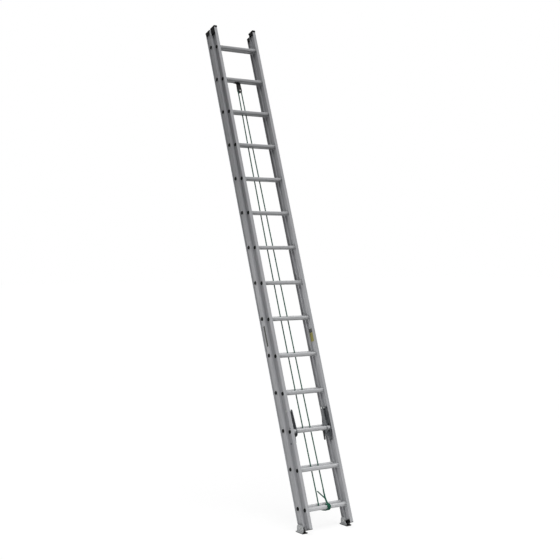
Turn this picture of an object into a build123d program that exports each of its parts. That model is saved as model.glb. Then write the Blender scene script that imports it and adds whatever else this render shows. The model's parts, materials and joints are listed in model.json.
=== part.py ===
from build123d import *
import math
import os

# Two-section aluminium extension ladder, closed, leaning at its working slope.
# Every piece is drawn on the upright ladder: X across, Y from the climber towards the wall, Z up the rails,
# with the shoe pivots on the X axis. It is then leaned back about that axis and set on its shoes.

# Sections and rungs
LEAN = 19.3
RUNG_COUNT = 14
RUNG_PITCH = 304.8
SECTION_STEP = 64.7
BASE_FIRST_RUNG = 145.0
BASE_TOP_OVERHANG = 145.0
BASE_FOOT = 8.0
FLY_FOOT_OVERHANG = 145.0
FLY_TOP_OVERHANG = 180.0

# Rail extrusions
BASE_WIDTH = 428.0
FLY_INSET = 17.0
RAIL_DEPTH = 66.6
WEB = 2.0
FLANGE = 2.5
FLY_FLANGE_OUT = 12.0
FLY_FLANGE_IN = 13.0
FLY_TONGUE_OUT = 12.0
FLY_TONGUE_IN = 11.0
BASE_FLANGE_OUT = 8.0
BASE_FLANGE_IN = 11.0
FOOT_CHAMFER = 12.0

# Fits
SLIDE_GAP = 0.5
LIP_TO_WEB = 6.0
RUNG_FIT = 0.1
PIN_FIT = 0.08
PLASTIC_FIT = 0.3
SIDE_GAP = 0.5

# Rungs
RUNG_RADIUS = 17.0
TREAD_HEIGHT = 15.0
TREAD_CORNER = 5.0
RUNG_WALL = 2.0
GROOVE_COUNT = 5
GROOVE_PITCH = 4.4
GROOVE_WIDTH = 1.6
GROOVE_DEPTH = 0.8
COLLAR = 3.0
COLLAR_LENGTH = 4.0
FLARE = 1.5
FLARE_LENGTH = 2.0

# Caps and end plugs
CAP_PLATE = 8.0
CAP_RIM = 1.5
CAP_LEG_LONG = 57.0
CAP_LEG_SHORT = 25.0
PLUG_PLATE = 5.0
PLUG_BLOCK = 22.0
PLUG_RIM = 5.0
PLUG_POCKET = 8.0
CAP_EDGE = 1.2

# Shoes
PIVOT_HEIGHT = 38.0
SHOE_PLATE = 3.0
SHOE_EAR = 25.0
SHOE_TOE = 40.0
SHOE_HEEL = 52.0
SHOE_EAR_TOE = 31.0
SHOE_EAR_FRONT = 38.0
SHOE_EAR_HEEL = 45.0
SHOE_SIDE_GAP = 1.5
SOLE_OUT = 9.0
PAD_THICK = 6.0
PAD_EDGE = 1.0
PAD_GROOVES = 6
PAD_GROOVE_WIDTH = 4.0
PAD_GROOVE_DEPTH = 2.0
SHOE_BOLT = 5.0
HEX_RADIUS = 9.0
HEX_HEIGHT = 5.0

# Rung locks
LOCK_STEP_COUNT = 2
LOCK_SPAN = 50.0
LOCK_LEAD = 15.0
LOCK_PLATE = 3.0
LOCK_GAP = 1.5
LOCK_BOSS = 6.5
PAWL_REACH = 133.4
PAWL_GAP = 4.5
PAWL_HALF_ANGLE = 8.0
PAWL_SWING = 10.0
PAWL_HUB = 11.0
PAWL_WALL = 4.0
PAWL_FOOT = 7.0
PAWL_WINDOW = 8.0
LOCK_BOLT = 5.0
LOCK_HEAD = 8.5
LOCK_HEAD_HEIGHT = 2.2
BRACKET_EYE = 12.0
BRACKET_SADDLE = 31.0
BRACKET_SADDLE_BACK = 5.0
BRACKET_SADDLE_DROP = 12.0
BRACKET_TAIL = 11.0
BRACKET_TAIL_BACK = 14.0
BRACKET_TAIL_DROP = 92.0
GUSSET_TOP = 22.0
GUSSET_EDGE = 38.0
SIDE_HOLE = 10.0
SIDE_HOLE_BACK = 18.0
SIDE_HOLE_RISE = 57.0
FINGER_BACK = 27.0
FINGER_DROP = 12.0
FINGER_HUB = 11.0
FINGER_TIP = 8.0
FINGER_REACH = 70.0
FINGER_SET_BACK = 6.0
FINGER_THICK = 5.0
FINGER_PIN = 3.0
FINGER_SPRING_WIRE = 1.6
FINGER_SPRING_TURNS = 3
FINGER_SPRING_PITCH = 2.6
FINGER_SPRING_ROOM = 11.0
RIVET = 3.0
RIVET_HEAD = 6.0
RIVET_HEAD_HEIGHT = 2.0
RIVET_FRONT = 12.0
RIVET_RISE = 26.0
SPRING_WIRE = 2.0
SPRING_TURNS = 4
SPRING_PITCH = 3.2
SPRING_ROOM = 20.0

# Pulley and rope
ROPE_DIAMETER = 9.5
PULLEY_STEP_COUNT = 12
PULLEY_X = -30.0
PULLEY_BEHIND_FLY = 32.0
PULLEY_DROP = 106.0
SHEAVE_PITCH_RADIUS = 15.3
SHEAVE_RIM = 18.5
SHEAVE_WIDTH = 13.0
AXLE = 4.0
AXLE_HEAD = 6.5
AXLE_HEAD_HEIGHT = 2.0
CHEEK = 2.5
CHEEK_HALF_WIDTH = 19.0
STRAP = 3.0
STRAP_WIDTH = 30.0
STRAP_GAP = 0.4
BRIDGE_DROP = 26.0
BRIDGE_THICK = 6.0
NECK_FRONT = 12.0
ROPE_GROOVE_GAP = 0.3
KNOT_X = 24.0
KNOT_SHIFT = 6.0
KNOT_TURNS = 2.5
KNOT_PITCH = 10.6
KNOT_REST = 0.5
KNOT_LEAD = 110.0
KNOT_RISE = 90.0
LEFT_RUN_X = -46.0

# Places worked out from the sizes above
SLOPE = math.radians(LEAN)
FLY_Y = -SECTION_STEP
FLY_FIRST_RUNG = BASE_FIRST_RUNG - SECTION_STEP * math.tan(SLOPE)
LADDER_RISE = (RUNG_COUNT - 1) * RUNG_PITCH
BASE_TOP = BASE_FIRST_RUNG + LADDER_RISE + BASE_TOP_OVERHANG
FLY_TOP = FLY_FIRST_RUNG + LADDER_RISE + FLY_TOP_OVERHANG
FLY_BOTTOM = FLY_FIRST_RUNG - FLY_FOOT_OVERHANG
BASE_WEB_OUT = BASE_WIDTH / 2
BASE_WEB_IN = BASE_WEB_OUT - WEB
FLY_WEB_OUT = BASE_WEB_OUT - FLY_INSET
FLY_WEB_IN = FLY_WEB_OUT - WEB
HALF_DEPTH = RAIL_DEPTH / 2
FLY_BACK = FLY_Y + HALF_DEPTH
GUIDE_FRONT = FLY_BACK + SLIDE_GAP
LIP_BACK = FLY_BACK - FLANGE - SLIDE_GAP
LIP_FRONT = LIP_BACK - FLANGE
LIP_IN = FLY_WEB_OUT + LIP_TO_WEB
BASE_OUT = BASE_WEB_OUT + BASE_FLANGE_OUT
LEANING = Location((0, 0, PIVOT_HEIGHT), (-LEAN, 0, 0))
STANDING = Location((0, 0, PIVOT_HEIGHT))

os.makedirs("parts", exist_ok=True)


def write(piece, name, place=LEANING):
    placed = piece.moved(place)
    placed.label = name
    export_step(placed, f"parts/{name}.step")


def write_pair(piece, name, place=LEANING):
    """Writes a piece of the right-hand side and its mirror image on the left."""
    write(piece, name.format("right"), place)
    write(mirror(piece, about=Plane.YZ), name.format("left"), place)


def slab(x, y, z, mode=Mode.ADD):
    """A box given by its lowest and highest place along each axis."""
    middle = ((x[0] + x[1]) / 2, (y[0] + y[1]) / 2, (z[0] + z[1]) / 2)
    with Locations(middle):
        Box(x[1] - x[0], y[1] - y[0], z[1] - z[0], mode=mode)


def strip(x, y, mode=Mode.ADD):
    """A rectangle of a section, given by its lowest and highest place on both axes."""
    with Locations(((x[0] + x[1]) / 2, (y[0] + y[1]) / 2)):
        Rectangle(x[1] - x[0], y[1] - y[0], mode=mode)


def bar(radius, x, y, z, mode=Mode.ADD):
    """A round bar along X between two places."""
    with Locations(Location(((x[0] + x[1]) / 2, y, z), (0, 90, 0))):
        Cylinder(radius, x[1] - x[0], mode=mode)


def tread_plane(x, y, z):
    """Plane across a rung, turned so that its tread is level on the leaning ladder."""
    return Plane((x, y, z), x_dir=(0, math.cos(SLOPE), math.sin(SLOPE)), z_dir=(1, 0, 0))


def rung_face(grow, mode=Mode.ADD):
    """D-shaped section of a rung: flat tread, round underside."""
    side = RUNG_RADIUS + grow
    top = TREAD_HEIGHT + grow
    corner = TREAD_CORNER + grow
    turn = corner * (1 - math.sqrt(0.5))
    with BuildLine() as outline:
        Line((-side, 0), (-side, top - corner))
        ThreePointArc((-side, top - corner), (-side + turn, top - turn), (-side + corner, top))
        Line((-side + corner, top), (side - corner, top))
        ThreePointArc((side - corner, top), (side - turn, top - turn), (side, top - corner))
        Line((side, top - corner), (side, 0))
        ThreePointArc((side, 0), (0, -side), (-side, 0))
    make_face(outline.edges(), mode=mode)


def rung(web_in, web_out, y, z):
    """Hollow fluted rung, beaded against the inside of both webs and flared outside them."""
    end = web_out + FLARE_LENGTH
    with BuildPart() as tube:
        with BuildSketch(tread_plane(-end, y, z)):
            rung_face(0)
            with Locations((0, TREAD_HEIGHT)):
                with GridLocations(GROOVE_PITCH, 1, GROOVE_COUNT, 1):
                    Rectangle(GROOVE_WIDTH, 2 * GROOVE_DEPTH, mode=Mode.SUBTRACT)
            rung_face(-RUNG_WALL, mode=Mode.SUBTRACT)
        extrude(amount=2 * end)
        rings = (
            (-end, FLARE, FLARE_LENGTH),
            (-web_in, COLLAR, COLLAR_LENGTH),
            (web_in - COLLAR_LENGTH, COLLAR, COLLAR_LENGTH),
            (web_out, FLARE, FLARE_LENGTH),
        )
        for start, grow, length in rings:
            with BuildSketch(tread_plane(start, y, z)):
                rung_face(grow)
                rung_face(-RUNG_WALL / 2, mode=Mode.SUBTRACT)
            extrude(amount=length)
    return tube.part


def cut_rung_holes(web_in, y, first):
    """Cuts the D-shaped holes of all rungs through the web of a rail."""
    for number in range(RUNG_COUNT):
        with BuildSketch(tread_plane(web_in, y, first + number * RUNG_PITCH)) as hole:
            rung_face(RUNG_FIT)
        extrude(hole.sketch, amount=WEB, mode=Mode.SUBTRACT)


# Place of the rung lock's pivot: above the tread of the base rung that the pawl lands on, and a little in front
LOCK_FLY_Z = FLY_FIRST_RUNG + LOCK_STEP_COUNT * RUNG_PITCH
LOCK_BASE_Z = BASE_FIRST_RUNG + LOCK_STEP_COUNT * RUNG_PITCH
PAWL_HEIGHT = TREAD_HEIGHT + PAWL_GAP + PAWL_REACH
PIVOT_Y = -PAWL_HEIGHT * math.sin(SLOPE) - LOCK_LEAD * math.cos(SLOPE)
PIVOT_Z = LOCK_BASE_Z + PAWL_HEIGHT * math.cos(SLOPE) - LOCK_LEAD * math.sin(SLOPE)
LOCK_INNER = FLY_WEB_IN - LOCK_SPAN
LOCK_OUTER = FLY_WEB_IN - FLY_TONGUE_IN - LOCK_GAP
FINGER_Y = FLY_Y + FINGER_BACK
FINGER_Z = LOCK_FLY_Z - FINGER_DROP
TAIL_Y = FLY_Y + BRACKET_TAIL_BACK
TAIL_Z = LOCK_FLY_Z - BRACKET_TAIL_DROP
SIDE_HOLE_Y = FLY_Y + SIDE_HOLE_BACK
SIDE_HOLE_Z = LOCK_FLY_Z + SIDE_HOLE_RISE
LOCK_RIVETS = (
    (FLY_Y - RIVET_FRONT, LOCK_FLY_Z + RIVET_RISE),
    (TAIL_Y, TAIL_Z),
)

# Base rails: I-section with a hooked channel in front that holds the fly's rear flange
with BuildPart() as base_rail:
    with BuildSketch(Plane.XY.offset(-BASE_FOOT)):
        strip((BASE_WEB_IN, BASE_WEB_OUT), (GUIDE_FRONT, HALF_DEPTH))
        strip((LIP_IN, BASE_OUT), (GUIDE_FRONT, GUIDE_FRONT + FLANGE))
        strip((BASE_WEB_IN - BASE_FLANGE_IN, BASE_OUT), (HALF_DEPTH - FLANGE, HALF_DEPTH))
        strip((BASE_OUT - FLANGE, BASE_OUT), (LIP_FRONT, GUIDE_FRONT + FLANGE))
        strip((LIP_IN, BASE_OUT), (LIP_FRONT, LIP_BACK))
    extrude(amount=BASE_TOP + BASE_FOOT)
    cut_rung_holes(BASE_WEB_IN, 0, BASE_FIRST_RUNG)
    bar(SHOE_BOLT + PIN_FIT, (BASE_WEB_IN, BASE_WEB_OUT), 0, 0, mode=Mode.SUBTRACT)
    with BuildSketch(Plane.YZ):
        for corner, inward in ((LIP_FRONT, 1), (HALF_DEPTH, -1)):
            with BuildLine():
                Polyline(
                    (corner, -BASE_FOOT),
                    (corner + inward * FOOT_CHAMFER, -BASE_FOOT),
                    (corner, FOOT_CHAMFER - BASE_FOOT),
                    close=True,
                )
            make_face()
    extrude(amount=BASE_WIDTH, mode=Mode.SUBTRACT)
write_pair(base_rail.part, "base_{}_rail")

# Fly rails: I-section, its rear flange running in the base's channel
with BuildPart() as fly_rail:
    with BuildSketch(Plane.XY.offset(FLY_BOTTOM)):
        strip((FLY_WEB_IN, FLY_WEB_OUT), (FLY_Y - HALF_DEPTH, FLY_BACK))
        strip(
            (FLY_WEB_IN - FLY_FLANGE_IN, FLY_WEB_OUT + FLY_FLANGE_OUT),
            (FLY_Y - HALF_DEPTH, FLY_Y - HALF_DEPTH + FLANGE),
        )
        strip((FLY_WEB_IN - FLY_TONGUE_IN, FLY_WEB_OUT + FLY_TONGUE_OUT), (FLY_BACK - FLANGE, FLY_BACK))
    extrude(amount=FLY_TOP - FLY_BOTTOM)
    cut_rung_holes(FLY_WEB_IN, FLY_Y, FLY_FIRST_RUNG)
    bar(LOCK_BOLT + PIN_FIT, (FLY_WEB_IN, FLY_WEB_OUT), PIVOT_Y, PIVOT_Z, mode=Mode.SUBTRACT)
    for rivet_y, rivet_z in LOCK_RIVETS:
        bar(RIVET + PIN_FIT, (FLY_WEB_IN, FLY_WEB_OUT), rivet_y, rivet_z, mode=Mode.SUBTRACT)
write_pair(fly_rail.part, "fly_{}_rail")

# Rungs of both sections, each a separate piece
base_rung = rung(BASE_WEB_IN, BASE_WEB_OUT, 0, BASE_FIRST_RUNG)
fly_rung = rung(FLY_WEB_IN, FLY_WEB_OUT, FLY_Y, FLY_FIRST_RUNG)
for number in range(RUNG_COUNT):
    rise = Location((0, 0, number * RUNG_PITCH))
    write(base_rung.moved(rise), f"base_rung_{number + 1:02d}")
    write(fly_rung.moved(rise), f"fly_rung_{number + 1:02d}")

# Top caps: a moulded plate over the rail's end, with a leg down each side of the web
LEG_REACH = HALF_DEPTH - FLANGE - PLASTIC_FIT
with BuildPart() as base_cap:
    slab((LIP_IN, BASE_OUT + CAP_RIM), (GUIDE_FRONT, HALF_DEPTH + CAP_RIM), (BASE_TOP, BASE_TOP + CAP_PLATE))
    fillet(base_cap.faces().sort_by(Axis.Z)[-1].edges(), CAP_EDGE)
    slab(
        (BASE_WEB_OUT + PLASTIC_FIT, BASE_OUT),
        (GUIDE_FRONT + FLANGE + PLASTIC_FIT, LEG_REACH),
        (BASE_TOP - CAP_LEG_SHORT, BASE_TOP + CAP_PLATE / 2),
    )
    slab(
        (BASE_WEB_IN - BASE_FLANGE_IN, BASE_WEB_IN - PLASTIC_FIT),
        (GUIDE_FRONT + FLANGE + PLASTIC_FIT, LEG_REACH),
        (BASE_TOP - CAP_LEG_SHORT, BASE_TOP + CAP_PLATE / 2),
    )
write_pair(base_cap.part, "base_{}_top_cap")

with BuildPart() as fly_cap:
    slab(
        (FLY_WEB_IN - FLY_FLANGE_IN - CAP_RIM, FLY_WEB_OUT + FLY_FLANGE_OUT + CAP_RIM),
        (FLY_Y - HALF_DEPTH - CAP_RIM, FLY_BACK + CAP_RIM),
        (FLY_TOP, FLY_TOP + CAP_PLATE),
    )
    fillet(fly_cap.faces().sort_by(Axis.Z)[-1].edges(), CAP_EDGE)
    slab(
        (FLY_WEB_OUT + PLASTIC_FIT, FLY_WEB_OUT + FLY_FLANGE_OUT),
        (FLY_Y - LEG_REACH, LIP_FRONT - SIDE_GAP),
        (FLY_TOP - CAP_LEG_LONG, FLY_TOP + CAP_PLATE / 2),
    )
    slab(
        (FLY_WEB_IN - FLY_FLANGE_IN, FLY_WEB_IN - PLASTIC_FIT),
        (FLY_Y - LEG_REACH, FLY_Y + LEG_REACH),
        (FLY_TOP - CAP_LEG_SHORT, FLY_TOP + CAP_PLATE / 2),
    )
write_pair(fly_cap.part, "fly_{}_top_cap")

# End plugs at the foot of the fly, short of the base's channel behind, each with a pocketed block inside the rail
with BuildPart() as fly_plug:
    slab(
        (FLY_WEB_IN - FLY_FLANGE_IN, FLY_WEB_OUT + FLY_FLANGE_OUT),
        (FLY_Y - HALF_DEPTH, LIP_FRONT - SIDE_GAP),
        (FLY_BOTTOM - PLUG_PLATE, FLY_BOTTOM),
    )
    fillet(fly_plug.faces().sort_by(Axis.Z)[0].edges(), CAP_EDGE)
    slab(
        (FLY_WEB_IN - FLY_FLANGE_IN, FLY_WEB_IN - PLASTIC_FIT),
        (FLY_Y - LEG_REACH, FLY_Y + LEG_REACH),
        (FLY_BOTTOM - PLUG_PLATE / 2, FLY_BOTTOM + PLUG_BLOCK),
    )
    slab(
        (FLY_WEB_IN - FLY_FLANGE_IN, FLY_WEB_IN - FLY_FLANGE_IN + PLUG_POCKET),
        (FLY_Y - LEG_REACH + PLUG_RIM, FLY_Y + LEG_REACH - PLUG_RIM),
        (FLY_BOTTOM, FLY_BOTTOM + PLUG_BLOCK - PLUG_RIM),
        mode=Mode.SUBTRACT,
    )
write_pair(fly_plug.part, "fly_{}_end_plug")

# Shoes: a broad ear outside and a narrower one inside, drawn flat on the floor with the pivot at the origin
SOLE_TOP = SHOE_PLATE + PAD_THICK - PIVOT_HEIGHT
EAR_OUT = BASE_OUT + SHOE_SIDE_GAP
EAR_IN = BASE_WEB_IN - BASE_FLANGE_IN - SHOE_SIDE_GAP
SOLE_X = (EAR_IN - SHOE_PLATE - SOLE_OUT, EAR_OUT + SHOE_PLATE + SOLE_OUT)
with BuildPart() as shoe:
    slab(SOLE_X, (-SHOE_TOE, SHOE_HEEL), (SOLE_TOP - SHOE_PLATE, SOLE_TOP))
    fillet(shoe.edges().filter_by(Axis.Z), SHOE_PLATE)
    ears = (
        (EAR_IN - SHOE_PLATE, SHOE_EAR_TOE, 0),
        (EAR_OUT, SHOE_EAR_FRONT, SHOE_EAR - SHOE_EAR_FRONT),
    )
    for ear_x, ear_toe, front_round in ears:
        with BuildSketch(Plane.YZ.offset(ear_x)):
            with Locations((front_round, 0), (SHOE_EAR_HEEL - SHOE_EAR, 0)):
                Circle(SHOE_EAR)
            strip((-ear_toe, SHOE_EAR_HEEL), (SOLE_TOP - SHOE_PLATE, SOLE_TOP))
            make_hull()
        extrude(amount=SHOE_PLATE)
    bar(SHOE_BOLT + PIN_FIT, SOLE_X, 0, 0, mode=Mode.SUBTRACT)
write_pair(shoe.part, "{}_shoe", STANDING)

# Rubber pads under the soles, grooved across
with BuildPart() as pad:
    slab(
        (SOLE_X[0] + PAD_EDGE, SOLE_X[1] - PAD_EDGE),
        (PAD_EDGE - SHOE_TOE, SHOE_HEEL - PAD_EDGE),
        (-PIVOT_HEIGHT, PAD_THICK - PIVOT_HEIGHT),
    )
    fillet(pad.edges().filter_by(Axis.Z), SHOE_PLATE)
    with Locations(((SOLE_X[0] + SOLE_X[1]) / 2, (SHOE_HEEL - SHOE_TOE) / 2, -PIVOT_HEIGHT)):
        with GridLocations(1, (SHOE_TOE + SHOE_HEEL) / (PAD_GROOVES + 1), 1, PAD_GROOVES):
            Box(BASE_WIDTH, PAD_GROOVE_WIDTH, 2 * PAD_GROOVE_DEPTH, mode=Mode.SUBTRACT)
write_pair(pad.part, "{}_shoe_pad", STANDING)

# Shoe pivot bolts, hexagon heads outside and nuts inside
with BuildPart() as shoe_bolt:
    bar(SHOE_BOLT, (EAR_IN - SHOE_PLATE - HEX_HEIGHT, EAR_OUT + SHOE_PLATE + HEX_HEIGHT), 0, 0)
    for head_x in (EAR_IN - SHOE_PLATE - PIN_FIT - HEX_HEIGHT, EAR_OUT + SHOE_PLATE + PIN_FIT):
        with BuildSketch(Plane.YZ.offset(head_x)):
            RegularPolygon(HEX_RADIUS, 6)
        extrude(amount=HEX_HEIGHT)
with BuildPart() as shoe_bolts:
    add(shoe_bolt.part)
    mirror(about=Plane.YZ)
write(shoe_bolts.part, "shoe_bolts")

# Lock bracket: two cheeks saddled on the fly rung, the outer one with a riveted tail and bosses out to the web,
# joined under the rung by a gusset
with BuildPart() as bracket:
    for cheek_x, tailed in ((LOCK_INNER, False), (LOCK_OUTER - LOCK_PLATE, True)):
        with BuildSketch(Plane.YZ.offset(cheek_x)):
            with Locations((PIVOT_Y, PIVOT_Z)):
                Circle(BRACKET_EYE)
            with Locations((FLY_Y + BRACKET_SADDLE_BACK, LOCK_FLY_Z - BRACKET_SADDLE_DROP)):
                Circle(BRACKET_SADDLE)
            if tailed:
                with Locations((TAIL_Y, TAIL_Z)):
                    Circle(BRACKET_TAIL)
            make_hull()
        extrude(amount=LOCK_PLATE)
        with BuildSketch(tread_plane(cheek_x, FLY_Y, LOCK_FLY_Z)):
            rung_face(RUNG_FIT)
        extrude(amount=LOCK_PLATE, mode=Mode.SUBTRACT)
    with BuildSketch(Plane.XZ.offset(-TAIL_Y - LOCK_PLATE / 2)):
        with BuildLine():
            Polyline(
                (LOCK_INNER, LOCK_FLY_Z - GUSSET_TOP),
                (LOCK_INNER, LOCK_FLY_Z - GUSSET_EDGE),
                (LOCK_OUTER, TAIL_Z + RIVET_HEAD + SIDE_GAP),
                (LOCK_OUTER, LOCK_FLY_Z - GUSSET_TOP),
                close=True,
            )
        make_face()
    extrude(amount=LOCK_PLATE)
    bar(SIDE_HOLE, (LOCK_INNER, LOCK_INNER + LOCK_PLATE), SIDE_HOLE_Y, SIDE_HOLE_Z, mode=Mode.SUBTRACT)
    bar(LOCK_HEAD, (LOCK_OUTER, FLY_WEB_IN), PIVOT_Y, PIVOT_Z)
    bar(LOCK_BOLT + PIN_FIT, (LOCK_INNER, FLY_WEB_IN), PIVOT_Y, PIVOT_Z, mode=Mode.SUBTRACT)
    bar(FINGER_PIN + PIN_FIT, (LOCK_INNER, LOCK_INNER + LOCK_PLATE), FINGER_Y, FINGER_Z, mode=Mode.SUBTRACT)
    for rivet_y, rivet_z in LOCK_RIVETS:
        bar(LOCK_BOSS, (LOCK_OUTER, FLY_WEB_IN), rivet_y, rivet_z)
        bar(RIVET + PIN_FIT, (LOCK_OUTER - LOCK_PLATE, FLY_WEB_IN), rivet_y, rivet_z, mode=Mode.SUBTRACT)
write_pair(bracket.part, "{}_lock_bracket")

# Lock pawl: a U-shaped casting on the pivot bolt, swung forward so that it clears the base rungs
PAWL_X = (LOCK_INNER + LOCK_PLATE + SIDE_GAP, LOCK_OUTER - LOCK_PLATE - SIDE_GAP)
PAWL_POCKET = (PAWL_X[0] + PAWL_WALL, PAWL_X[1] - PAWL_WALL)
PAWL_MIDDLE = (PAWL_X[0] + PAWL_X[1]) / 2
HANG = LEAN - PAWL_SWING


def hanging(reach, angle):
    """Point of the pawl, by its distance from the pivot and its angle behind the rail's line."""
    turn = math.radians(angle)
    return (PIVOT_Y + reach * math.sin(turn), PIVOT_Z - reach * math.cos(turn))


def pawl_face(reach, front, back, root_front, root_back):
    """Fan-shaped section of the pawl, its foot an arc about the pivot."""
    with BuildLine() as outline:
        ThreePointArc(hanging(reach, front), hanging(reach, (front + back) / 2), hanging(reach, back))
        Line(hanging(reach, back), root_back)
        Line(root_back, root_front)
        Line(root_front, hanging(reach, front))
    make_face(outline.edges())


PAWL_BACK = HANG + PAWL_HALF_ANGLE
PAWL_FRONT = HANG - PAWL_HALF_ANGLE
BACK_WALL = math.degrees(PAWL_WALL / PAWL_REACH)
with BuildPart() as pawl:
    with BuildSketch(Plane.YZ.offset(PAWL_X[0])):
        pawl_face(
            PAWL_REACH,
            PAWL_FRONT,
            PAWL_BACK,
            hanging(PAWL_HUB, HANG - 90),
            hanging(PAWL_HUB, HANG + 90),
        )
        with Locations((PIVOT_Y, PIVOT_Z)):
            Circle(PAWL_HUB)
    extrude(amount=PAWL_X[1] - PAWL_X[0])
    with BuildSketch(Plane.YZ.offset(PAWL_POCKET[0])):
        pawl_face(
            PAWL_REACH - PAWL_FOOT,
            PAWL_FRONT - PAWL_HALF_ANGLE,
            PAWL_BACK - BACK_WALL,
            hanging(2 * PAWL_HUB, HANG - 90),
            hanging(PAWL_HUB + PAWL_WALL, HANG),
        )
    extrude(amount=PAWL_POCKET[1] - PAWL_POCKET[0], mode=Mode.SUBTRACT)
    bar(
        PAWL_HUB + SIDE_GAP,
        (PAWL_MIDDLE - SPRING_ROOM / 2, PAWL_MIDDLE + SPRING_ROOM / 2),
        PIVOT_Y,
        PIVOT_Z,
        mode=Mode.SUBTRACT,
    )
    bar(LOCK_BOLT + PIN_FIT, PAWL_X, PIVOT_Y, PIVOT_Z, mode=Mode.SUBTRACT)
    window_x = PAWL_POCKET[0] + PAWL_WINDOW + SIDE_GAP
    window_z = PIVOT_Z - PAWL_REACH + PAWL_FOOT + 3 * PAWL_WINDOW
    with Locations(Location((window_x, PIVOT_Y, window_z), (90, 0, 0))):
        Cylinder(PAWL_WINDOW, 2 * PAWL_REACH, mode=Mode.SUBTRACT)
    bar(SIDE_HOLE, (PAWL_X[0], PAWL_POCKET[0]), SIDE_HOLE_Y, SIDE_HOLE_Z, mode=Mode.SUBTRACT)
write_pair(pawl.part, "{}_lock_pawl")

# Lock pivot bolts, from the inner cheek through the fly's web
with BuildPart() as lock_bolt:
    bar(LOCK_BOLT, (LOCK_INNER - LOCK_HEAD_HEIGHT, FLY_WEB_OUT + LOCK_HEAD_HEIGHT), PIVOT_Y, PIVOT_Z)
    bar(LOCK_HEAD, (LOCK_INNER - LOCK_HEAD_HEIGHT, LOCK_INNER), PIVOT_Y, PIVOT_Z)
    bar(LOCK_HEAD, (FLY_WEB_OUT, FLY_WEB_OUT + LOCK_HEAD_HEIGHT), PIVOT_Y, PIVOT_Z)
with BuildPart() as lock_bolts:
    add(lock_bolt.part)
    mirror(about=Plane.YZ)
write(lock_bolts.part, "lock_pivot_bolts")

# Rivets that hold the brackets to the fly's webs
with BuildPart() as side_rivets:
    for rivet_y, rivet_z in LOCK_RIVETS:
        head_in = LOCK_OUTER - LOCK_PLATE
        bar(RIVET, (head_in - RIVET_HEAD_HEIGHT, FLY_WEB_OUT + RIVET_HEAD_HEIGHT), rivet_y, rivet_z)
        bar(RIVET_HEAD, (head_in - RIVET_HEAD_HEIGHT, head_in), rivet_y, rivet_z)
        bar(RIVET_HEAD, (FLY_WEB_OUT, FLY_WEB_OUT + RIVET_HEAD_HEIGHT), rivet_y, rivet_z)
with BuildPart() as lock_rivets:
    add(side_rivets.part)
    mirror(about=Plane.YZ)
write(lock_rivets.part, "lock_rivets")

# Lock fingers: flat tongues that hang below the rung on a shoulder pin
FINGER_X = (LOCK_INNER - PIN_FIT - FINGER_THICK, LOCK_INNER - PIN_FIT)
with BuildPart() as finger:
    with BuildSketch(Plane.YZ.offset(FINGER_X[0])):
        with Locations((FINGER_Y, FINGER_Z)):
            Circle(FINGER_HUB)
        with Locations((FINGER_Y + FINGER_SET_BACK, FINGER_Z - FINGER_REACH)):
            Circle(FINGER_TIP)
        make_hull()
    extrude(amount=FINGER_THICK)
    bar(FINGER_PIN + PIN_FIT, FINGER_X, FINGER_Y, FINGER_Z, mode=Mode.SUBTRACT)
write_pair(finger.part, "{}_lock_finger")

PIN_HEAD = FINGER_X[0] - FINGER_SPRING_ROOM
with BuildPart() as finger_pin:
    bar(FINGER_PIN, (PIN_HEAD - RIVET_HEAD_HEIGHT, LOCK_INNER + LOCK_PLATE), FINGER_Y, FINGER_Z)
    bar(RIVET_HEAD, (PIN_HEAD - RIVET_HEAD_HEIGHT, PIN_HEAD), FINGER_Y, FINGER_Z)
with BuildPart() as finger_pins:
    add(finger_pin.part)
    mirror(about=Plane.YZ)
write(finger_pins.part, "lock_finger_pins")


def biarc(start, start_way, end, end_way):
    """Two arcs that leave one point and reach another in the given directions, as one smooth bend."""
    across = end - start
    ways = start_way + end_way
    turning = 1 - start_way.dot(end_way)
    along = across.dot(ways)
    if turning < 1e-9:
        reach = across.dot(across) / (2 * along)
    else:
        reach = (math.sqrt(along**2 + 2 * turning * across.dot(across)) - along) / (2 * turning)
    first = start + start_way * reach
    second = end - end_way * reach
    middle = (first + second) / 2
    TangentArc(start, middle, tangent=start_way)
    TangentArc(middle, end, tangent=(second - first).normalized())


def wind(centre, radius, advance, turns, begin):
    """Quarter turns of a winding about X: the points and directions, from the given angle."""
    stops = []
    for quarter in range(round(4 * turns) + 1):
        angle = begin + quarter * math.pi / 2
        x = centre.X + advance * quarter / 4
        out = radius * math.cos(angle)
        up = radius * math.sin(angle)
        way = Vector(advance / (2 * math.pi), -up, out).normalized()
        stops.append((Vector(x, centre.Y + out, centre.Z + up), way))
    return stops


def follow(stops):
    for (start, start_way), (end, end_way) in zip(stops, stops[1:]):
        biarc(start, start_way, end, end_way)


def report_gap(name, wire, thickness, samples=400):
    """Prints the least gap between stretches of a winding that are more than a turn of the tube apart."""
    step = wire.length / samples
    points = [wire.position_at(index / samples) for index in range(samples + 1)]
    apart = math.ceil(2.5 * thickness / step)
    gaps = [
        (points[first] - points[second]).length - thickness
        for first in range(len(points))
        for second in range(first + apart, len(points))
    ]
    print(f"{name}: length {wire.length:.1f} mm, least gap to itself {min(gaps):.2f} mm")


def tube(wire, thickness):
    """Round tube along a wire."""
    with BuildPart() as cord:
        with BuildSketch(Plane(wire.position_at(0), z_dir=wire.tangent_at(0))):
            Circle(thickness / 2)
        sweep(path=wire)
    swept = math.pi * thickness**2 / 4 * wire.length
    print(f"tube of {wire.length:.1f} mm: volume {cord.part.volume / swept:.4f} of section times length")
    return cord.part


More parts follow.
